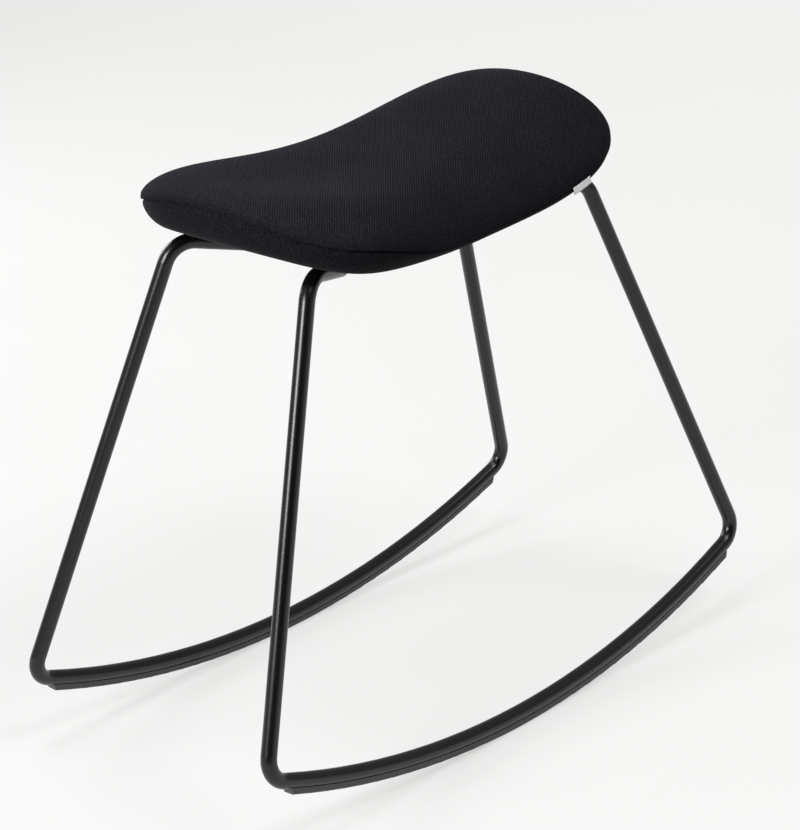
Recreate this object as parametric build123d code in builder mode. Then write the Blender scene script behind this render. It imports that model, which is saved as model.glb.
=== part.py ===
"""Rocking stool: two bent-tube side frames on curved runners carry an upholstered saddle seat.

Millimetres. X runs across the stool, Y fore and aft with the low front end at -Y, and Z up.
The origin is on the floor, midway between the places where the two runners touch it.
"""
import os
from math import asin, atan, cos, sin, sqrt

from build123d import *

os.makedirs("parts", exist_ok=True)

# Side frames: one steel tube each, from the front arm round by the runner to the rear arm
tube_diameter = 16
tube_wall = 1.5
runner_radius = 976
runner_x = 176.1
runner_lean = 0.07
runner_half_length = 344
corner_y = 368.9
bottom_bend = 24
leg_top_x = 94
leg_top_y = 202.6
leg_top_z = 526.8
top_bend = 29
arm_toe_in = 0.38
arm_fall = 0.238
arm_reach = 68

# Glide strips under the runners, with pegs that push into holes in the tube
strip_width = 13
strip_depth = 4.5
strip_overlap = 2.4
strip_edge = 1.5
strip_end_gap = 1.5
strip_end_slant = 5
peg_diameter = 5
peg_length = 5
pegs_per_strip = 5

# Tabs at the arm ends, and the screws that hold them to the seat
tab_length = 72
tab_width = 26
tab_thickness = 4
tab_corner = 8
tab_over_tube = 18
tab_bed_depth = 0.1
bolt_diameter = 6
bolt_head_diameter = 11
bolt_head_height = 3.5
bolt_socket = 4
bolt_socket_depth = 2
bolt_pitch = 32
bolt_clearance = 0.3
washer_diameter = 14
washer_thickness = 1.2
tee_nut_barrel = 8
tee_nut_flange = 19
tee_nut_flange_thickness = 1.5
plug_depth = 12
plug_rim = 1.5

# Seat outline, seen from above
seat_front = -242.7
seat_rear = 259.3
waist_half_width = 138.5
waist_y = 105
side_radius = 1200
front_corner = 110
rear_corner = 105

# Seat surfaces at five even stations from the front end to the rear end: heights on the middle
# line, then the fall (square law) and the roll (fourth power) at fall_reach away from that line.
# The sewn seam dips further at the sides, by the edge drops (eighth power).
fall_reach = 160
seam_heights = (586, 559, 565, 594, 586)
seam_falls = (21, -20, 11, 54, 52)
seam_rolls = (29, 29, 29, 29, 29)
edge_drops = (15, 10, 20, -8, 0)
under_heights = (552, 521, 512, 524, 558)
under_falls = (0, 0, 0, 0, 0)
under_rolls = (20, 7, -3, 23, 40)
crown_height = 29.5
crown_fall = 11.7
top_edge_roll = 17
bottom_edge_roll = 22

# Upholstery
cover_thickness = 1.5
shell_thickness = 9
shell_inset = 34
lining_inset = 46
staple_count = 26
staple_margin = 5
staple_width = 10
staple_wire = 1
staple_leg = 6
label_front = 132
label_length = 30
label_width = 10
label_thickness = 0.8

tube_radius = tube_diameter / 2
bore_radius = tube_radius - tube_wall
shell_bottom = cover_thickness
shell_top = cover_thickness + shell_thickness
form_height = 800
ends = {"front": -1, "rear": 1}

# The runners lean inwards, so a glide strip rests on its rounded outer edge
lean_angle = atan(runner_lean)
strip_core_depth = tube_radius + strip_depth - strip_edge
strip_core_side = strip_width / 2 - strip_edge
runner_z = strip_core_depth * cos(lean_angle) + strip_core_side * sin(lean_angle) + strip_edge
runner_low = Vector(runner_x, 0, runner_z)
lean_up = Vector(-sin(lean_angle), 0, cos(lean_angle))
runner_normal = Vector(cos(lean_angle), 0, sin(lean_angle))
runner_plane = Plane(runner_low + lean_up * runner_radius, x_dir=(0, 1, 0), z_dir=runner_normal)
runner_half_angle = asin(runner_half_length / runner_radius)


def save(part, name):
    part.label = name
    export_step(part, f"parts/{name}.step")


def save_pair(left_part, name):
    """Write a left-hand piece, and the same piece mirrored for the right."""
    save(mirror(left_part, about=Plane.YZ), f"{name}_right")
    save(left_part, f"{name}_left")


def runner_place(angle, radius):
    """In the runner's plane, the point at an angle from the arc's lowest point."""
    return (radius * sin(angle), -radius * cos(angle))


def frame_corners(end):
    """Centreline corners of half a left frame, from the arm's end down to the runner."""
    start = runner_plane.from_local_coords(runner_place(runner_half_angle, runner_radius))
    tangent = Vector(0, cos(runner_half_angle), 0) + lean_up * sin(runner_half_angle)
    corner = start + tangent * ((corner_y - start.Y) / tangent.Y)
    top = Vector(leg_top_x, leg_top_y, leg_top_z)
    arm_end = top + Vector(-arm_toe_in, -1, -arm_fall) * arm_reach
    return [Vector(point.X, end * point.Y, point.Z) for point in (arm_end, top, corner, start)]


# Seat surfaces
def through(values, station):
    """The polynomial through values at even stations from -1 to 1."""
    places = [2 * i / (len(values) - 1) - 1 for i in range(len(values))]
    total = 0
    for i, value in enumerate(values):
        for j, place in enumerate(places):
            if j != i:
                value *= (station - place) / (places[i] - place)
        total += value
    return total


def seat_station(y):
    return (2 * y - seat_front - seat_rear) / (seat_rear - seat_front)


def saddle(heights, falls, rolls, x, y):
    station = seat_station(y)
    square = (x / fall_reach) ** 2
    fall = through(falls, station) * square + through(rolls, station) * square ** 2
    return through(heights, station) - fall


def seam_height(x, y):
    return saddle(seam_heights, seam_falls, seam_rolls, x, y)


def seam_line(x, y):
    """Where the top and border covers are sewn together."""
    drop = through(edge_drops, seat_station(y)) * (x / fall_reach) ** 8
    return seam_height(x, y) - drop


def under_height(x, y):
    return saddle(under_heights, under_falls, under_rolls, x, y)


def top_height(x, y):
    spread = (x / fall_reach) ** 2 + seat_station(y) ** 2
    return seam_height(x, y) + crown_height - crown_fall * spread


def sheet(height, shift=0, columns=15, rows=17, margin=12):
    """A curved face a little wider than the seat, at a height given for each x and y."""
    half_width = fall_reach + margin
    length = seat_rear - seat_front + 2 * margin
    xs = [half_width * (2 * i / (columns - 1) - 1) for i in range(columns)]
    ys = [seat_front - margin + length * i / (rows - 1) for i in range(rows)]
    points = [[Vector(x, y, height(x, y) + shift) for x in xs] for y in ys]
    return Face.make_surface_from_array_of_points(points)


def side_x(y):
    return waist_half_width + side_radius - sqrt(side_radius ** 2 - (y - waist_y) ** 2)


def seat_plan(inset=0):
    """The seat's outline from above, drawn in by inset."""
    front_x = side_x(seat_front)
    rear_x = side_x(seat_rear)
    with BuildSketch() as plan:
        with BuildLine():
            ThreePointArc((front_x, seat_front), (waist_half_width, waist_y), (rear_x, seat_rear))
            Line((rear_x, seat_rear), (-rear_x, seat_rear))
            ThreePointArc((-rear_x, seat_rear), (-waist_half_width, waist_y), (-front_x, seat_front))
            Line((-front_x, seat_front), (front_x, seat_front))
        make_face()
        fillet(plan.vertices().group_by(Axis.Y)[0], front_corner)
        fillet(plan.vertices().group_by(Axis.Y)[-1], rear_corner)
        if inset:
            offset(amount=-inset)
    return plan.sketch


def slab(inset, bottom, bottom_shift, top, top_shift):
    """The seat's outline, drawn in by inset, between two curved faces."""
    with BuildPart() as block:
        add(seat_plan(inset))
        extrude(amount=form_height)
        extrude(sheet(top, top_shift), amount=-form_height, dir=(0, 0, 1), mode=Mode.INTERSECT)
        extrude(sheet(bottom, bottom_shift), amount=form_height, dir=(0, 0, 1), mode=Mode.INTERSECT)
    return block.part


def seat_form(inset):
    """The whole padded seat with its rolled edges, drawn in by inset on every side."""
    with BuildPart() as form:
        add(slab(inset, under_height, inset, top_height, -inset))
        fillet(form.faces().sort_by(Axis.Z)[-1].edges(), top_edge_roll - inset)
        fillet(form.faces().sort_by(Axis.Z)[0].edges(), bottom_edge_roll - inset)
    return form.part


def tab_plane(end):
    """A plane on the seat's underside: x runs inwards along the left arm, z up into the seat."""
    arm_end = frame_corners(end)[0]
    inward = Vector(-arm_toe_in, -end, 0).normalized()
    centre = arm_end + inward * (tab_length / 2 - tab_over_tube)
    x, y = centre.X, centre.Y
    slope_x = (under_height(x + 1, y) - under_height(x - 1, y)) / 2
    slope_y = (under_height(x, y + 1) - under_height(x, y - 1)) / 2
    normal = Vector(-slope_x, -slope_y, 1).normalized()
    along = inward - normal * inward.dot(normal)
    return Plane((x, y, under_height(x, y)), x_dir=along, z_dir=normal)


tab_planes = {name: tab_plane(end) for name, end in ends.items()}
bolt_places = [(tab_over_tube / 2 + shift, 0) for shift in (-bolt_pitch / 2, bolt_pitch / 2)]


def bolt_cylinders(radius, bottom, top):
    """Cylinders on every bolt axis, between two heights above the tabs' top faces."""
    with BuildPart() as cylinders:
        for plane in tab_planes.values():
            with BuildSketch(plane.offset(bottom)):
                with Locations(*bolt_places):
                    Circle(radius)
            extrude(amount=top - bottom)
        mirror(about=Plane.YZ)
    return cylinders.part


# Tabs welded to the arm ends
tabs = {}
for name, plane in tab_planes.items():
    with BuildPart() as tab:
        with BuildSketch(plane):
            RectangleRounded(tab_length, tab_width, tab_corner)
            with Locations(*bolt_places):
                Circle(bolt_diameter / 2 + bolt_clearance, mode=Mode.SUBTRACT)
        extrude(amount=-tab_thickness)
    tabs[name] = tab.part

with BuildPart() as tab_beds:
    for plane in tab_planes.values():
        with BuildSketch(plane.offset(tab_bed_depth)):
            RectangleRounded(tab_length, tab_width, tab_corner)
        extrude(amount=-tab_thickness)
    mirror(about=Plane.YZ)

# Side frame tube, notched for the tabs and drilled for the strip's pegs
front_corners = frame_corners(ends["front"])
rear_corners = frame_corners(ends["rear"])
peg_spacing = 2 * runner_half_angle / pegs_per_strip
peg_angles = [peg_spacing * (i - (pegs_per_strip - 1) / 2) for i in range(pegs_per_strip)]
peg_planes = []
for angle in peg_angles:
    centre = runner_plane.origin
    foot = runner_plane.from_local_coords(runner_place(angle, runner_radius + tube_radius))
    peg_planes.append(Plane(foot, z_dir=centre - foot))

with BuildLine() as frame_path:
    FilletPolyline(*front_corners, radius=[top_bend, bottom_bend])
    ThreePointArc(front_corners[-1], runner_low, rear_corners[-1])
    FilletPolyline(*reversed(rear_corners), radius=[bottom_bend, top_bend])
path = frame_path.wires()[0]
path_start = Plane(path @ 0, z_dir=path % 0)

with BuildPart() as rod:
    with BuildSketch(path_start):
        Circle(tube_radius)
    sweep(path=path)

with BuildPart() as frame_tube:
    with BuildSketch(path_start):
        Circle(tube_radius)
        Circle(bore_radius, mode=Mode.SUBTRACT)
    sweep(path=path)
    for plane in peg_planes:
        with BuildSketch(plane.offset(-tube_wall)):
            Circle(peg_diameter / 2)
        extrude(amount=tube_wall * 3, mode=Mode.SUBTRACT)
    for tab_part in tabs.values():
        add(tab_part, mode=Mode.SUBTRACT)

# Plugs in the open arm ends
plugs = {}
for name, corners in (("front", front_corners), ("rear", rear_corners)):
    outward = Plane(corners[0], z_dir=corners[0] - corners[1])
    with BuildPart() as plug:
        with BuildSketch(outward):
            Circle(bore_radius)
        extrude(amount=-plug_depth)
        with BuildSketch(outward):
            Circle(tube_radius)
        extrude(amount=plug_rim)
        add(tabs[name], mode=Mode.SUBTRACT)
    plugs[name] = plug.part

# Glide strip with its pegs
strip_inner = runner_radius + tube_radius - strip_overlap
strip_outer = runner_radius + tube_radius + strip_depth
strip_half_angle = runner_half_angle - strip_end_gap / runner_radius
strip_foot_angle = strip_half_angle - strip_end_slant / strip_outer

with BuildPart() as strip:
    with BuildSketch(runner_plane):
        with BuildLine():
            inner_angles = (-strip_half_angle, 0, strip_half_angle)
            outer_angles = (-strip_foot_angle, 0, strip_foot_angle)
            inner_arc = ThreePointArc(*[runner_place(a, strip_inner) for a in inner_angles])
            outer_arc = ThreePointArc(*[runner_place(a, strip_outer) for a in outer_angles])
            Line(inner_arc @ 0, outer_arc @ 0)
            Line(inner_arc @ 1, outer_arc @ 1)
        make_face()
    extrude(amount=strip_width / 2, both=True)
    outer_face = strip.faces().filter_by(GeomType.CYLINDER).sort_by(Axis.Z)[0]
    fillet(outer_face.edges().filter_by(GeomType.CIRCLE), strip_edge)
    add(rod.part, mode=Mode.SUBTRACT)
    for plane in peg_planes:
        with BuildSketch(plane.offset(-strip_depth / 2)):
            Circle(peg_diameter / 2)
        extrude(amount=strip_depth / 2 + peg_length)

# Screws, washers and tee nuts
washer_bottom = -tab_thickness - washer_thickness
head_bottom = washer_bottom - bolt_head_height
flange_bottom = shell_top - tee_nut_flange_thickness
bolt_tip = shell_top + bolt_diameter / 4
pocket_top = bolt_tip + bolt_clearance
barrel_bottom = shell_bottom + 3 * bolt_clearance
bolt_shanks = bolt_cylinders(bolt_diameter / 2, washer_bottom, bolt_tip)
bolt_passages = bolt_cylinders(bolt_diameter / 2 + bolt_clearance, head_bottom, bolt_tip)

with BuildPart() as nut_pockets:
    add(bolt_cylinders(tee_nut_barrel / 2, 0, shell_top))
    add(bolt_cylinders(tee_nut_flange / 2, flange_bottom, pocket_top))

with BuildPart() as seat_bolts:
    add(bolt_shanks)
    add(bolt_cylinders(bolt_head_diameter / 2, head_bottom, washer_bottom))
    for plane in tab_planes.values():
        for flip in (False, True):
            with BuildSketch(plane.offset(head_bottom)) as socket:
                with Locations(*bolt_places):
                    RegularPolygon(bolt_socket / 2, 6, major_radius=False)
            sockets = mirror(socket.sketch, about=Plane.YZ) if flip else socket.sketch
            extrude(sockets, amount=bolt_socket_depth, dir=plane.z_dir, mode=Mode.SUBTRACT)

with BuildPart() as seat_washers:
    add(bolt_cylinders(washer_diameter / 2, washer_bottom, -tab_thickness))
    add(bolt_passages, mode=Mode.SUBTRACT)

with BuildPart() as tee_nuts:
    add(bolt_cylinders(tee_nut_barrel / 2, barrel_bottom, flange_bottom))
    add(bolt_cylinders(tee_nut_flange / 2, flange_bottom, shell_top))
    add(bolt_shanks, mode=Mode.SUBTRACT)

# Staples that hold the cover's edge and the lining to the shell
with BuildPart() as cover_staples:
    staple_line = seat_plan(lining_inset + staple_margin).faces()[0].outer_wire()
    for i in range(staple_count):
        place = staple_line.position_at((i + 0.5) / staple_count)
        heading = staple_line.tangent_at((i + 0.5) / staple_count)
        crown = Plane((place.X, place.Y, under_height(place.X, place.Y)), x_dir=heading, z_dir=(0, 0, 1))
        with BuildSketch(crown.offset(-staple_wire)):
            Rectangle(staple_width, staple_wire)
        extrude(amount=staple_wire)
        with BuildSketch(crown):
            with GridLocations(staple_width - staple_wire, 0, 2, 1):
                Rectangle(staple_wire, staple_wire)
        extrude(amount=staple_leg)

# Seat: shell, foam, two cover panels and the lining under the shell
outer_form = seat_form(0)
inner_form = seat_form(cover_thickness)

with BuildPart() as seat_shell:
    add(slab(shell_inset, under_height, shell_bottom, under_height, shell_top))
    shell_blank = seat_shell.part
    add(nut_pockets.part, mode=Mode.SUBTRACT)
    add(cover_staples.part, mode=Mode.SUBTRACT)

with BuildPart() as foam_cushion:
    add(inner_form)
    add(shell_blank, mode=Mode.SUBTRACT)
    add(nut_pockets.part, mode=Mode.SUBTRACT)

with BuildPart() as top_cover:
    add(outer_form)
    extrude(sheet(seam_line), amount=form_height, dir=(0, 0, 1), mode=Mode.INTERSECT)
    add(inner_form, mode=Mode.SUBTRACT)

with BuildPart() as lower_cover:
    add(outer_form)
    extrude(sheet(seam_line), amount=-form_height, dir=(0, 0, 1), mode=Mode.INTERSECT)
    add(inner_form, mode=Mode.SUBTRACT)

with BuildPart() as border_cover:
    add(lower_cover.part)
    with BuildSketch():
        add(seat_plan(lining_inset))
    extrude(amount=form_height, mode=Mode.SUBTRACT)

with BuildPart() as underside_lining:
    add(slab(lining_inset, under_height, 0, under_height, shell_bottom))
    add(tab_beds.part, mode=Mode.SUBTRACT)
    add(bolt_passages, mode=Mode.SUBTRACT)
    add(cover_staples.part, mode=Mode.SUBTRACT)

# Blank label, sewn into the seam near the rear of the left side
with BuildPart() as sewn_label:
    add(seat_form(-label_thickness))
    add(outer_form, mode=Mode.SUBTRACT)
    label_middle = label_front + label_length / 2
    label_top = seam_line(side_x(label_middle), label_middle)
    with BuildSketch(Plane.XY.offset(label_top - label_width)):
        with Locations((side_x(label_middle), label_middle)):
            Rectangle(label_width, label_length)
    extrude(amount=label_width, mode=Mode.INTERSECT)

save_pair(frame_tube.part, "side_frame")
save_pair(strip.part, "glide_strip")
for name in ends:
    save_pair(tabs[name], f"{name}_arm_tab")
    save_pair(plugs[name], f"{name}_arm_plug")
save(seat_bolts.part, "seat_bolts")
save(seat_washers.part, "seat_washers")
save(tee_nuts.part, "tee_nuts")
save(cover_staples.part, "cover_staples")
save(seat_shell.part, "seat_shell")
save(foam_cushion.part, "foam_cushion")
save(top_cover.part, "top_cover")
save(border_cover.part, "border_cover")
save(underside_lining.part, "underside_lining")
save(sewn_label.part, "sewn_label")

print("tube length", round(path.length), "volume", round(frame_tube.part.volume))
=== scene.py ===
"""Looks of the rocking stool: padded saddle seat, painted tube frames and a pale studio floor.

The scene is in metres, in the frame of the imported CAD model: X across, Y fore and aft with the front
at -Y, Z up. Sizes of the seat are written in millimetres and scaled where its points are made.
"""
import math

import bpy
import numpy as np
from mathutils import Matrix, Vector


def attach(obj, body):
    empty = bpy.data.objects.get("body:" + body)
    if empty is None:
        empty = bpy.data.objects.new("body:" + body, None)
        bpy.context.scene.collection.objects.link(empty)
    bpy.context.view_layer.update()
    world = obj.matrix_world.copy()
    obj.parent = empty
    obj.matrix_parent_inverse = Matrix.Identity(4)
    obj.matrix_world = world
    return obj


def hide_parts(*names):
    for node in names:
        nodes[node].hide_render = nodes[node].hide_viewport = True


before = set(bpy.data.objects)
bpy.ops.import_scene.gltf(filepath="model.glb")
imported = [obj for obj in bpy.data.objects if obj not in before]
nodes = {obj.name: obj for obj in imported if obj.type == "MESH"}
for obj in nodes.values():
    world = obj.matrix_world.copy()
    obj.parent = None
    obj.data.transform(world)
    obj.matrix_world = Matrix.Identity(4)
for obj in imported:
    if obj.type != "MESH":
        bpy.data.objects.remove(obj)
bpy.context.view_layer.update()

MM = 0.001

# Seat outline in plan
OUTLINE_MIDDLE = 8.3
OUTLINE_HALF_LENGTH = 251
OUTLINE_HALF_WIDTH = 165
OUTLINE_TAPER = -0.133
OUTLINE_WAIST = 0.123
FRONT_POWER = 3.03
REAR_POWER = 3.66

# Seat heights on the middle line, and what they lose towards the sides, at even stations from front to rear
FALL_REACH = 160
SEAM_HEIGHTS = (588, 559, 565, 594, 586)
SEAM_FALLS = (21, -20, 11, 54, 52)
SEAM_ROLLS = (29, 29, 29, 29, 29)
EDGE_DROPS = (15, 10.3, 19.5, -8, 0)
UNDER_HEIGHTS = (552, 521, 512, 524, 558)
UNDER_ROLLS = (20, 7, -3, 23, 40)

# Padding of the top above the seam
CROWN = 29.5
CROWN_POWER = 2.65
NOSE_POWER = 0.359

# How finely the seat is divided
ROUND_POINTS = 320
RIM_SAMPLES = 20000
LINE_SAMPLES = 4000
ANGLE_STEP = 0.001


# Seat formulas
def through(values, station):
    """The polynomial through values at even stations from -1 to 1."""
    places = np.linspace(-1, 1, len(values))
    total = 0 * station
    for i, value in enumerate(values):
        term = value + 0 * station
        for j, place in enumerate(places):
            if j != i:
                term = term * (station - place) / (places[i] - place)
        total = total + term
    return total


def seat_station(y):
    """How far along the seat y lies, from -1 at the front edge to 1 at the rear edge."""
    return (y - OUTLINE_MIDDLE) / OUTLINE_HALF_LENGTH


def seam_height(x, y):
    """Height of the saddle through the seam."""
    station = seat_station(y)
    side = x / FALL_REACH
    square = side ** 2
    fall = through(SEAM_FALLS, station) * square
    roll = through(SEAM_ROLLS, station) * square ** 2
    drop = through(EDGE_DROPS, station) * side ** 8
    return through(SEAM_HEIGHTS, station) - fall - roll - drop


def under_height(x, y):
    """Height of the seat's underside."""
    station = seat_station(y)
    square = (x / FALL_REACH) ** 2
    return through(UNDER_HEIGHTS, station) - through(UNDER_ROLLS, station) * square ** 2


def outline(angle, reach):
    """Plan points at a share of the way from the seat's middle to its rim."""
    c = np.cos(angle)
    s = np.sin(angle)
    power = np.where(s > 0, REAR_POWER, FRONT_POWER)
    across = np.sign(c) * np.abs(c) ** (2 / power)
    along = reach * np.sign(s) * np.abs(s) ** (2 / power)
    width = OUTLINE_HALF_WIDTH * (1 + OUTLINE_TAPER * along - OUTLINE_WAIST * (1 - along ** 2) ** 2)
    return reach * across * width, OUTLINE_MIDDLE + OUTLINE_HALF_LENGTH * along


def crown(reach):
    """How far the padded top stands above the saddle, from full in the middle to nothing at the rim."""
    return CROWN * np.maximum(1 - reach ** CROWN_POWER, 0) ** NOSE_POWER


def run_along(x, y):
    """Length along a line of plan points, from 0 at its start."""
    return np.concatenate(([0], np.cumsum(np.hypot(np.diff(x), np.diff(y)))))


def even_angles(count):
    """Angles whose rim points lie evenly round the seat."""
    fine = np.linspace(0, 2 * math.pi, RIM_SAMPLES)
    run = run_along(*outline(fine, 1.0))
    return np.interp(np.linspace(0, run[-1], count, endpoint=False), run, fine)


def inset_points(angle, inset):
    """Plan points at a fixed distance inside the rim."""
    x, y = outline(angle, 1.0)
    x1, y1 = outline(angle - ANGLE_STEP, 1.0)
    x2, y2 = outline(angle + ANGLE_STEP, 1.0)
    size = np.hypot(x2 - x1, y2 - y1)
    return x - inset * (y2 - y1) / size, y + inset * (x2 - x1) / size


# Rings and meshes
ANGLES = even_angles(ROUND_POINTS)


def ring(x, y, z):
    """Points in metres from coordinates in millimetres."""
    return np.stack((x, y, z + 0 * x), axis=1) * MM


def seam_ring(reach, drop):
    """A ring at a share of the way to the rim and a depth below the saddle through the seam."""
    x, y = outline(ANGLES, reach)
    return ring(x, y, seam_height(x, y) - drop)


def mesh_object(name, points, faces, slot):
    """A smooth piece of the seat, tied to the root body; the slot it is given is not used."""
    mesh = bpy.data.meshes.new(name)
    mesh.from_pydata([tuple(p) for p in points], [], faces)
    mesh.polygons.foreach_set("use_smooth", [True] * len(mesh.polygons))
    mesh.update()
    piece = bpy.data.objects.new(name, mesh)
    bpy.context.scene.collection.objects.link(piece)
    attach(piece, "root")
    return piece


def ring_faces(rings, size, closed):
    """Quads between rings of points, and back to the first ring if closed."""
    faces = []
    for i in range(rings if closed else rings - 1):
        a = i * size
        b = (i + 1) % rings * size
        for j in range(size):
            k = (j + 1) % size
            faces.append((a + j, b + j, b + k, a + k))
    return faces


def capped_skin(name, rings, slot):
    """A closed skin of rings, from a point inside the first ring to one inside the last."""
    size = len(rings[0])
    faces = ring_faces(len(rings), size, closed=False)
    points = np.concatenate(rings)
    first = len(points)
    base = (len(rings) - 1) * size
    for j in range(size):
        k = (j + 1) % size
        faces.append((first, j, k))
        faces.append((first + 1, base + k, base + j))
    points = np.concatenate((points, [rings[0].mean(axis=0)], [rings[-1].mean(axis=0)]))
    return mesh_object(name, points, faces, slot)


# Seat panel: crowned top, nose over the seam, and a plain inner face; nose rings have a reach and a drop
TOP_RINGS = 90
TOP_START = 0.012
NOSE_RINGS = ((0.9985, 0.9), (0.995, 1.5), (0.985, 1.2))
INNER_REACHES = (0.9, 0.7, 0.5, 0.3, 0.1)
INNER_DROP = 1.2


def top_ring(reach):
    """The crowned top at a share of the way to the rim."""
    x, y = outline(ANGLES, reach)
    return ring(x, y, seam_height(x, y) + crown(reach))


def panel_rings():
    """Rings from the middle of the top, closer towards the rim, round the nose and back inside."""
    rings = [top_ring(1 - (1 - share) ** 3) for share in np.linspace(TOP_START, 1, TOP_RINGS)]
    rings += [seam_ring(reach, drop) for reach, drop in NOSE_RINGS]
    rings += [seam_ring(reach, INNER_DROP) for reach in INNER_REACHES]
    return rings


seat_panel = capped_skin("seat_panel", panel_rings(), "ribbed_fabric")
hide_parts("top_cover", "foam_cushion")


# Seat border: from the seam down the side and under the shell's edge
# Band places are shares of the way round a side, folds are insets, and tails have a reach and a drop
SEAM_INSET = 0.8
SEAM_GAP = 1.8
SEAM_TUCK = 2.2
BAND_INSET = 33
BAND_PLACES = np.array((0, 0.22, 0.36, 0.5, 0.7, 1))
BAND_BULGES = np.array((0.5, 0.6, 0.95, 0.92, 0.66, 0.55))
BAND_RINGS = 56
BAND_SPACING = 2.4
COVER_THICKNESS = 1.5
OUTER_TAIL = ((0.96, 1.6), (0.972, 1.6))
OUTER_FOLD = (35, 38, 42, 46, 49, 52)
INNER_FOLD = (52, 44, 37)
INNER_SHARES = (0.95, 0.75, 0.5, 0.25)
INNER_TAIL = (0.95, 3.5)


def side_share(angle):
    """How far round one side a rim point lies, from 0 at the front's middle to 1 at the rear's."""
    fine = np.linspace(-math.pi / 2, math.pi / 2, LINE_SAMPLES)
    run = run_along(*outline(fine, 1.0))
    return np.interp(np.arcsin(np.sin(angle)), fine, run / run[-1])


def band_bulge(angle):
    """A power that shapes the band: low makes it full, as at both ends, and high lets it slant."""
    share = side_share(angle)
    k = np.clip(np.searchsorted(BAND_PLACES, share) - 1, 0, len(BAND_PLACES) - 2)
    part = (share - BAND_PLACES[k]) / (BAND_PLACES[k + 1] - BAND_PLACES[k])
    return BAND_BULGES[k] + (BAND_BULGES[k + 1] - BAND_BULGES[k]) * part * part * (3 - 2 * part)


def band_ring(share):
    """The band at a share of the way from the seam to the underside, tucked in just below the seam."""
    rim = seam_height(*outline(ANGLES, 1.0)) - SEAM_GAP
    low = under_height(*inset_points(ANGLES, SEAM_INSET + BAND_INSET))
    drop = (rim - low) * (1 - (1 - share) ** 2) ** band_bulge(ANGLES)
    tuck = SEAM_TUCK * np.exp(-drop / SEAM_TUCK)
    x, y = inset_points(ANGLES, SEAM_INSET + tuck + BAND_INSET * share)
    return ring(x, y, rim - drop)


def under_ring(inset, lift):
    """The underside at a distance inside the rim."""
    x, y = inset_points(ANGLES, inset)
    return ring(x, y, under_height(x, y) + lift)


def border_rings():
    """Rings from inside the seam down the outer face, round the fold and up the inner face."""
    rings = [seam_ring(reach, drop) for reach, drop in OUTER_TAIL]
    rings += [band_ring(share ** BAND_SPACING) for share in np.linspace(0, 1, BAND_RINGS)]
    rings += [under_ring(inset, 0) for inset in OUTER_FOLD]
    rings += [under_ring(inset, COVER_THICKNESS) for inset in INNER_FOLD]
    rings += [band_ring(share) + (0, 0, COVER_THICKNESS * MM) for share in INNER_SHARES]
    rings.append(seam_ring(*INNER_TAIL))
    return rings


border = border_rings()
border_faces = ring_faces(len(border), ROUND_POINTS, closed=True)
seat_border = mesh_object("seat_border", np.concatenate(border), border_faces, "plain_fabric")
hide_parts("border_cover")


# Lining under the shell, its edge folded over: shares of its size, and heights over the underside
LINING_INSET = 46
LINING_UPPER = ((0.04, 1.2), (0.5, 1.2), (0.9, 1.2), (1.0, 0.9), (1.003, 0.3))
LINING_EDGE = ((1.0, -0.3), (0.985, -0.3), (0.96, -0.3))
LINING_LOWER = ((0.9, 0), (0.8, 0), (0.6, 0), (0.4, 0), (0.2, 0), (0.04, 0))


def lining_ring(share, lift):
    """The lining's outline drawn in towards its middle."""
    x, y = inset_points(ANGLES, LINING_INSET)
    x = x * share
    y = OUTLINE_MIDDLE + (y - OUTLINE_MIDDLE) * share
    return ring(x, y, under_height(x, y) + lift)


lining_rings = [lining_ring(share, lift) for share, lift in LINING_UPPER + LINING_EDGE + LINING_LOWER]
seat_lining = capped_skin("seat_lining", lining_rings, "lining_felt")
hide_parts("underside_lining")


# Topstitching just above the seam; the swells are places along a stitch and shares of its thickness
STITCH_REACH = 0.9968
STITCH_PITCH = 4.2
STITCH_LENGTH = 3.0
STITCH_THICKNESS = 0.8
STITCH_RISE = 0.3
STITCH_SIDES = 6
STITCH_SWELLS = ((-1, 0.25), (-0.7, 0.8), (0, 1), (0.7, 0.8), (1, 0.25))


def unit(vectors):
    """The same directions at length 1."""
    return vectors / np.linalg.norm(vectors, axis=1)[:, None]


def stitch_points(centre, along, outward, upward):
    """Points round one stitch, from end to end."""
    points = []
    for place, swell in STITCH_SWELLS:
        middle = centre + along * place * STITCH_LENGTH / 2 * MM
        radius = STITCH_THICKNESS / 2 * swell * MM
        for side in range(STITCH_SIDES):
            turn = 2 * math.pi * side / STITCH_SIDES
            points.append(middle + radius * (math.cos(turn) * outward + math.sin(turn) * upward))
    return points


def stitch_faces(start):
    """Faces of the stitch whose points begin at start."""
    last = (len(STITCH_SWELLS) - 1) * STITCH_SIDES
    faces = ring_faces(len(STITCH_SWELLS), STITCH_SIDES, closed=False)
    faces.append(tuple(reversed(range(STITCH_SIDES))))
    faces.append(tuple(range(last, last + STITCH_SIDES)))
    return [tuple(start + corner for corner in face) for face in faces]


def stitch_row():
    """Points and faces of all the stitches round the seat."""
    row = outline(np.linspace(0, 2 * math.pi, LINE_SAMPLES), STITCH_REACH)
    x, y = outline(even_angles(int(run_along(*row)[-1] / STITCH_PITCH)), STITCH_REACH)
    middle = ring(x, y, seam_height(x, y) + crown(STITCH_REACH))
    along = unit(np.roll(middle, -1, axis=0) - np.roll(middle, 1, axis=0))
    outward = unit(np.stack((along[:, 1], -along[:, 0], STITCH_RISE + 0 * x), axis=1))
    upward = np.cross(outward, along)
    points = []
    faces = []
    for stitch in zip(middle, along, outward, upward):
        faces += stitch_faces(len(points))
        points += stitch_points(*stitch)
    return points, faces


seat_stitches = mesh_object("seat_stitches", *stitch_row(), "ribbed_fabric")


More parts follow.
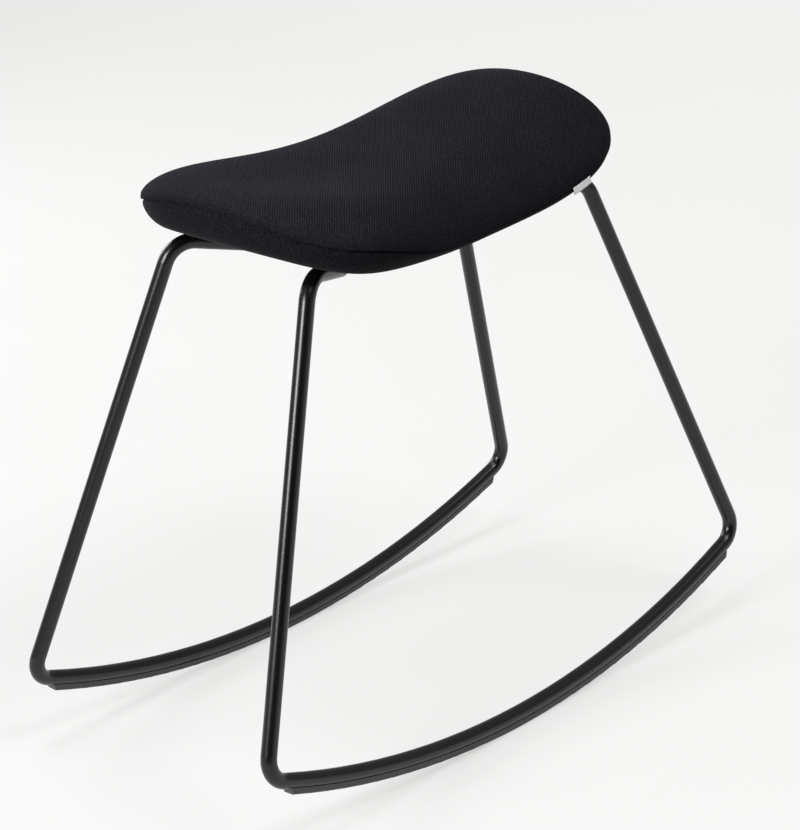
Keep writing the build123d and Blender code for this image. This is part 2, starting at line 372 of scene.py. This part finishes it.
# Blank white tag sewn into the seam, hanging a little outwards
TAG_START = 132
TAG_LENGTH = 30
TAG_DROP = 6.8
TAG_FLARE = 2.0
TAG_THICKNESS = 0.6
TAG_GAP = 0.8
TAG_COLUMNS = 25
TAG_ROWS = 10


def tag_row(share, lift):
    """One row of points along the tag, at a share of the way down it."""
    along = np.linspace(TAG_START, TAG_START + TAG_LENGTH, TAG_COLUMNS)
    angle = np.arcsin(seat_station(along) ** (REAR_POWER / 2))
    rim_x, rim_y = outline(angle, 1.0)
    x, y = inset_points(angle, -TAG_FLARE * share - lift)
    return ring(x, y, seam_height(rim_x, rim_y) - TAG_GAP - TAG_DROP * share)


def tag_faces(rows):
    """Quads round the tag: down its outer face, under its hem and up its inner face."""
    faces = []
    for i in range(rows):
        a = i * TAG_COLUMNS
        b = (i + 1) % rows * TAG_COLUMNS
        for j in range(TAG_COLUMNS - 1):
            faces.append((a + j, b + j, b + j + 1, a + j + 1))
    return faces


tag_rows = [tag_row(share, TAG_THICKNESS) for share in np.linspace(0, 1, TAG_ROWS)]
tag_rows += [tag_row(share, 0.0) for share in np.linspace(1, 0, TAG_ROWS)]
sewn_tag = mesh_object("sewn_tag", np.concatenate(tag_rows), tag_faces(len(tag_rows)), "label_tape")
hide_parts("sewn_label")


# Materials
class Shader:
    """A new material and short calls to add nodes to it; sockets have underscores for spaces."""

    def __init__(self, name, **settings):
        self.material = bpy.data.materials.new(name)
        self.material.use_nodes = True
        self.tree = self.material.node_tree
        self.main = self.tree.nodes["Principled BSDF"]
        self.give(**settings)
        coordinates = self.add("TexCoord").outputs
        self.place = coordinates["Object"]
        self.normal = coordinates["Normal"]

    def give(self, **inputs):
        """Set inputs of the main shader."""
        self.feed(self.main, inputs)

    def add(self, kind, **inputs):
        """A new node with its inputs."""
        node = self.tree.nodes.new("ShaderNode" + kind)
        self.feed(node, inputs)
        return node

    def feed(self, node, inputs):
        """Set a node's inputs by name."""
        for name, value in inputs.items():
            self.set(node.inputs[name.replace("_", " ")], value)

    def set(self, socket, value):
        """Link an input to another node's output, or give it a plain value."""
        if isinstance(value, bpy.types.NodeSocket):
            self.tree.links.new(value, socket)
        else:
            socket.default_value = value

    def turned(self, degrees, stretch=(1, 1, 1)):
        """Object coordinates, turned in plan and stretched."""
        turn = (0, 0, math.radians(degrees))
        return self.add("Mapping", Vector=self.place, Rotation=turn, Scale=stretch).outputs["Vector"]

    def noise(self, scale, detail, vector=None):
        """Cloudy noise from 0 to 1."""
        vector = self.place if vector is None else vector
        return self.add("TexNoise", Vector=vector, Scale=scale, Detail=detail).outputs["Fac"]

    def wave(self, vector, pitch, distortion=0.0):
        """Ribs across the vector's x, one for each pitch in metres; at scale 1 the pitch is pi / 10."""
        scale = math.pi / 10 / pitch
        node = self.add("TexWave", Vector=vector, Scale=scale, Distortion=distortion, Detail_Scale=2)
        return node.outputs["Fac"]

    def combine(self, operation, a, b):
        """A sum, product or the like of two values."""
        node = self.add("Math")
        node.operation = operation
        self.set(node.inputs[0], a)
        self.set(node.inputs[1], b)
        return node.outputs["Value"]

    def mixed(self, a, share_a, b, share_b):
        """Two values added by their shares."""
        return self.combine("ADD", self.combine("MULTIPLY", a, share_a), self.combine("MULTIPLY", b, share_b))

    def ramp(self, factor, *stops):
        """Colours at places along a factor, blended between."""
        node = self.add("ValToRGB", Fac=factor)
        elements = node.color_ramp.elements
        while len(elements) < len(stops):
            elements.new(0.5)
        for element, (position, colour) in zip(elements, stops):
            element.position = position
            element.color = (*colour, 1)
        return node.outputs["Color"]

    def scaled(self, value, low, high, start=0.0, end=1.0):
        """A value that goes from low to high while the given one goes from start to end."""
        span = {"From_Min": start, "From_Max": end, "To_Min": low, "To_Max": high}
        return self.add("MapRange", Value=value, **span).outputs["Result"]

    def bump(self, height, strength, distance):
        """A normal for relief of a depth in metres."""
        return self.add("Bump", Height=height, Strength=strength, Distance=distance).outputs["Normal"]


INK_TINT = (1.05, 1.0, 1.33)
VIOLET_SHEEN = (0.9, 0.85, 1.0, 1)


def grey(level, warm=1.0):
    """A grey, warmer in tint above 1."""
    return (level * warm, level, level * (2 - warm))


def ink(level):
    """Black with a trace of violet, as the cover cloth has."""
    return tuple(level * share for share in INK_TINT)


def paint():
    """Satin black powder coat, its skin faintly uneven."""
    s = Shader("satin_black_paint", Roughness=0.27)
    peel = s.noise(420, detail=2)
    cloud = s.noise(18, detail=4)
    s.give(Base_Color=s.ramp(cloud, (0.3, grey(0.002)), (0.7, grey(0.0035))))
    s.give(Roughness=s.scaled(cloud, 0.24, 0.31))
    s.give(Normal=s.bump(peel, strength=0.008, distance=0.0002))
    return s.material


def twill():
    """Black ribbed twill; its diagonal ribs fade to an even tone where the seat is steep."""
    s = Shader("black_ribbed_twill", Roughness=0.85, Specular_IOR_Level=0.03)
    s.give(Sheen_Weight=0.038, Sheen_Roughness=0.2, Sheen_Tint=VIOLET_SHEEN)
    ribs = s.wave(s.turned(-43.3), pitch=0.0023, distortion=2.2)
    floats = s.wave(s.turned(28), pitch=0.0016, distortion=1.5)
    fuzz = s.scaled(s.noise(750, detail=4), -0.5, 1.5)
    wear = s.scaled(s.noise(14, detail=3), -0.08, 0.08)
    weave = s.combine("MULTIPLY", ribs, s.scaled(floats, 0.55, 1.0))
    rise = s.add("SeparateXYZ", Vector=s.normal).outputs["Z"]
    flat = s.scaled(rise, 0.0, 1.0, start=0.35, end=0.85)
    even = 0.39
    weave = s.mixed(weave, flat, s.combine("SUBTRACT", 1.0, flat), even)
    tone = s.combine("ADD", s.mixed(weave, 0.48, fuzz, 0.52), wear)
    s.give(Base_Color=s.ramp(tone, (0.15, ink(0.0042)), (0.48, ink(0.012)), (0.85, ink(0.036))))
    relief = s.combine("ADD", weave, s.combine("MULTIPLY", fuzz, 0.25))
    s.give(Normal=s.bump(relief, strength=0.55, distance=0.0006))
    return s.material


def plain_weave():
    """Plain black cover cloth on the border, with only a fine grain."""
    s = Shader("black_plain_weave", Roughness=0.9, Specular_IOR_Level=0.08)
    s.give(Sheen_Weight=0.04, Sheen_Roughness=0.3, Sheen_Tint=VIOLET_SHEEN)
    threads = s.scaled(s.noise(760, detail=2), -0.3, 1.3)
    tone = s.mixed(threads, 0.6, s.noise(2000, detail=3), 0.4)
    s.give(Base_Color=s.ramp(tone, (0.3, ink(0.0018)), (0.5, ink(0.0066)), (0.7, ink(0.023))))
    s.give(Normal=s.bump(tone, strength=0.5, distance=0.0005))
    return s.material


def thread():
    """Twisted black sewing thread."""
    s = Shader("black_thread", Roughness=0.7, Specular_IOR_Level=0.12)
    twist = s.wave(s.turned(20), pitch=0.0005)
    s.give(Base_Color=s.ramp(twist, (0.2, ink(0.006)), (0.8, ink(0.016))))
    s.give(Normal=s.bump(twist, strength=0.4, distance=0.0002))
    return s.material


def felt():
    """Thin pressed felt under the seat."""
    s = Shader("black_felt", Roughness=0.95, Sheen_Weight=0.15)
    fibres = s.noise(900, detail=6)
    tone = s.mixed(fibres, 0.7, s.noise(60, detail=4), 0.3)
    s.give(Base_Color=s.ramp(tone, (0.3, grey(0.008)), (0.7, grey(0.026))))
    s.give(Normal=s.bump(fibres, strength=0.6, distance=0.0008))
    return s.material


def tape():
    """White woven tape."""
    s = Shader("white_woven_tape", Roughness=0.75, Sheen_Weight=0.1)
    weave = s.combine("MULTIPLY", s.wave(s.turned(90), pitch=0.0006), s.wave(s.turned(0), pitch=0.0006))
    tone = s.mixed(weave, 0.5, s.noise(120, detail=3), 0.5)
    s.give(Base_Color=s.ramp(tone, (0.1, grey(0.80, warm=1.01)), (0.7, grey(0.90, warm=1.01))))
    s.give(Normal=s.bump(weave, strength=0.3, distance=0.0002))
    return s.material


def nylon(name, level, roughness):
    """Moulded black plastic of a grey level and a mean roughness."""
    s = Shader(name, Roughness=roughness)
    grain = s.noise(2600, detail=3)
    cloud = s.noise(30, detail=3)
    s.give(Base_Color=s.ramp(cloud, (0.3, grey(level * 0.85)), (0.7, grey(level * 1.15))))
    s.give(Roughness=s.scaled(grain, roughness - 0.06, roughness + 0.06))
    s.give(Normal=s.bump(grain, strength=0.15, distance=0.0002))
    return s.material


def zinc():
    """Bright zinc plate."""
    s = Shader("zinc_plate", Roughness=0.3, Metallic=1.0)
    spangle = s.noise(420, detail=4)
    s.give(Base_Color=s.ramp(spangle, (0.3, grey(0.50, warm=1.02)), (0.7, grey(0.66, warm=1.02))))
    s.give(Roughness=s.scaled(s.noise(900, detail=3), 0.24, 0.4))
    s.give(Normal=s.bump(spangle, strength=0.1, distance=0.0002))
    return s.material


def plywood():
    """Birch plywood, its grain along the seat."""
    s = Shader("birch_plywood", Roughness=0.6)
    grain = s.noise(60, detail=6, vector=s.turned(0, stretch=(6, 0.6, 6)))
    s.give(Base_Color=s.ramp(grain, (0.3, (0.42, 0.27, 0.14)), (0.7, (0.60, 0.42, 0.25))))
    s.give(Normal=s.bump(grain, strength=0.2, distance=0.0004))
    return s.material


def foam():
    """Cut grey foam."""
    s = Shader("cut_foam", Roughness=0.95)
    cells = s.noise(700, detail=5)
    s.give(Base_Color=s.ramp(cells, (0.3, (0.25, 0.24, 0.22)), (0.7, (0.42, 0.41, 0.38))))
    s.give(Normal=s.bump(cells, strength=0.6, distance=0.0008))
    return s.material


def dress(material, *names):
    """Give CAD nodes a material, in place of the flat one they came with."""
    for name in names:
        data = nodes[name].data
        data.materials.clear()
        data.materials.append(material)


SIDES = ("left", "right")
ENDS = ("front", "rear")
tubes = [f"side_frame_{side}" for side in SIDES]
tabs = [f"{end}_arm_tab_{side}" for end in ENDS for side in SIDES]
plugs = [f"{end}_arm_plug_{side}" for end in ENDS for side in SIDES]
glides = [f"glide_strip_{side}" for side in SIDES]
dress(paint(), *tubes, *tabs)
dress(nylon("black_glide_nylon", level=0.04, roughness=0.32), *glides)
dress(nylon("black_plug_plastic", level=0.012, roughness=0.45), *plugs)
dress(zinc(), "seat_bolts", "seat_washers", "tee_nuts", "cover_staples")
dress(plywood(), "seat_shell")
dress(foam(), "foam_cushion")
for piece, node, material in (
    (seat_panel, "top_cover", twill()),
    (seat_border, "border_cover", plain_weave()),
    (seat_lining, "underside_lining", felt()),
    (sewn_tag, "sewn_label", tape()),
):
    piece.data.materials.append(material)
    dress(material, node)
seat_stitches.data.materials.append(thread())


# Pale floor: part of its white is its own glow, more towards the rear, to look even with faint shadows
FLOOR_HALF = 40.0
FLOOR_TONES = ((0.3, (0.304, 0.305, 0.304)), (0.7, (0.314, 0.315, 0.314)))
GLOW_COLOUR = (0.995, 1.0, 0.98, 1)
GLOW_FRONT = 0.485
GLOW_REAR = 0.705
GLOW_FRONT_Y = -1.6
GLOW_REAR_Y = 2.6


def floor_material():
    """White that takes light and shadow, with a glow that shows only to the camera and in reflections."""
    s = Shader("pale_floor", Roughness=0.8, Specular_IOR_Level=0.1, Emission_Color=GLOW_COLOUR)
    s.give(Base_Color=s.ramp(s.noise(3, detail=4), *FLOOR_TONES))
    depth = s.add("SeparateXYZ", Vector=s.place).outputs["Y"]
    glow = s.scaled(depth, GLOW_FRONT, GLOW_REAR, start=GLOW_FRONT_Y, end=GLOW_REAR_Y)
    paths = s.add("LightPath").outputs
    seen = s.combine("MAXIMUM", paths["Is Camera Ray"], paths["Is Glossy Ray"])
    seen = s.combine("MAXIMUM", seen, paths["Is Transmission Ray"])
    s.give(Emission_Strength=s.combine("MULTIPLY", seen, glow))
    return s.material


def add_floor(half):
    """A square floor at height 0, which is not part of the object."""
    mesh = bpy.data.meshes.new("floor")
    corners = [(-half, -half, 0), (half, -half, 0), (half, half, 0), (-half, half, 0)]
    mesh.from_pydata(corners, [], [(0, 1, 2, 3)])
    mesh.materials.append(floor_material())
    floor = bpy.data.objects.new("floor", mesh)
    bpy.context.scene.collection.objects.link(floor)


add_floor(FLOOR_HALF)


# Camera, from the photograph's perspective
IMAGE_WIDTH = 800
IMAGE_HEIGHT = 830
SENSOR_WIDTH = 36
FOCAL_PIXELS = 2812.9
CENTRE_PIXEL = (398.26, 457.95)
AZIMUTH = math.radians(43.708)
ELEVATION = math.radians(22.661)
ROLL = math.radians(-2.285)
DISTANCE = 2.95567
TARGET = Vector((0, 0.00746, 0.24812))


def camera_axes():
    """The camera's right, up and back directions."""
    back = Vector((
        math.sin(AZIMUTH) * math.cos(ELEVATION),
        -math.cos(AZIMUTH) * math.cos(ELEVATION),
        math.sin(ELEVATION),
    ))
    level = Vector((math.cos(AZIMUTH), math.sin(AZIMUTH), 0))
    rise = back.cross(level)
    right = level * math.cos(ROLL) + rise * math.sin(ROLL)
    up = rise * math.cos(ROLL) - level * math.sin(ROLL)
    return right, up, back


def add_camera():
    """A camera whose sensor spans the image's longer side, its height."""
    right, up, back = camera_axes()
    data = bpy.data.cameras.new("camera")
    data.sensor_width = SENSOR_WIDTH
    data.lens = FOCAL_PIXELS * SENSOR_WIDTH / IMAGE_HEIGHT
    data.shift_x = (IMAGE_WIDTH / 2 - CENTRE_PIXEL[0]) / IMAGE_HEIGHT
    data.shift_y = (CENTRE_PIXEL[1] - IMAGE_HEIGHT / 2) / IMAGE_HEIGHT
    camera = bpy.data.objects.new("camera", data)
    axes = Matrix((right, up, back)).transposed().to_4x4()
    camera.matrix_world = Matrix.Translation(TARGET + back * DISTANCE) @ axes
    bpy.context.scene.collection.objects.link(camera)
    bpy.context.scene.camera = camera


add_camera()


# Soft studio light, and a plain pale room that is dark where the photographer stands
LAMP_AIM = Vector((0, 0, 0.35))
DARK_SIDE = (0.74, -0.55, 0.385)
ROOM_LEVELS = {"From Min": 0.45, "From Max": 0.9, "To Min": 0.34, "To Max": 0.03}


def softbox(name, place, size, watts):
    """A rectangular lamp aimed at the stool."""
    data = bpy.data.lights.new(name, "AREA")
    data.shape = "RECTANGLE"
    data.size, data.size_y = size
    data.energy = watts
    lamp = bpy.data.objects.new(name, data)
    place = Vector(place)
    aim = LAMP_AIM - place
    lamp.matrix_world = Matrix.Translation(place) @ aim.to_track_quat("-Z", "Y").to_matrix().to_4x4()
    bpy.context.scene.collection.objects.link(lamp)


def studio_world():
    """The room: its light falls off towards the dark side."""
    world = bpy.data.worlds.new("studio")
    world.use_nodes = True
    tree = world.node_tree
    place = tree.nodes.new("ShaderNodeTexCoord")
    side = tree.nodes.new("ShaderNodeVectorMath")
    side.operation = "DOT_PRODUCT"
    side.inputs[1].default_value = DARK_SIDE
    level = tree.nodes.new("ShaderNodeMapRange")
    level.interpolation_type = "SMOOTHSTEP"
    for socket, value in ROOM_LEVELS.items():
        level.inputs[socket].default_value = value
    background = tree.nodes["Background"]
    background.inputs["Color"].default_value = (1, 1, 1, 1)
    tree.links.new(place.outputs["Generated"], side.inputs[0])
    tree.links.new(side.outputs["Value"], level.inputs["Value"])
    tree.links.new(level.outputs["Result"], background.inputs["Strength"])
    bpy.context.scene.world = world


softbox("front_softbox", place=(0.05, -2.6, 1.55), size=(1.1, 0.9), watts=63)
softbox("left_softbox", place=(-2.4, 0.0, 1.3), size=(1.4, 1.2), watts=25)
softbox("key_softbox", place=(1.8, 0.2, 3.2), size=(1.1, 1.1), watts=41)
softbox("top_softbox", place=(-0.3, -0.6, 4.5), size=(1.3, 1.3), watts=42)
studio_world()
bpy.context.scene.view_settings.view_transform = "Standard"
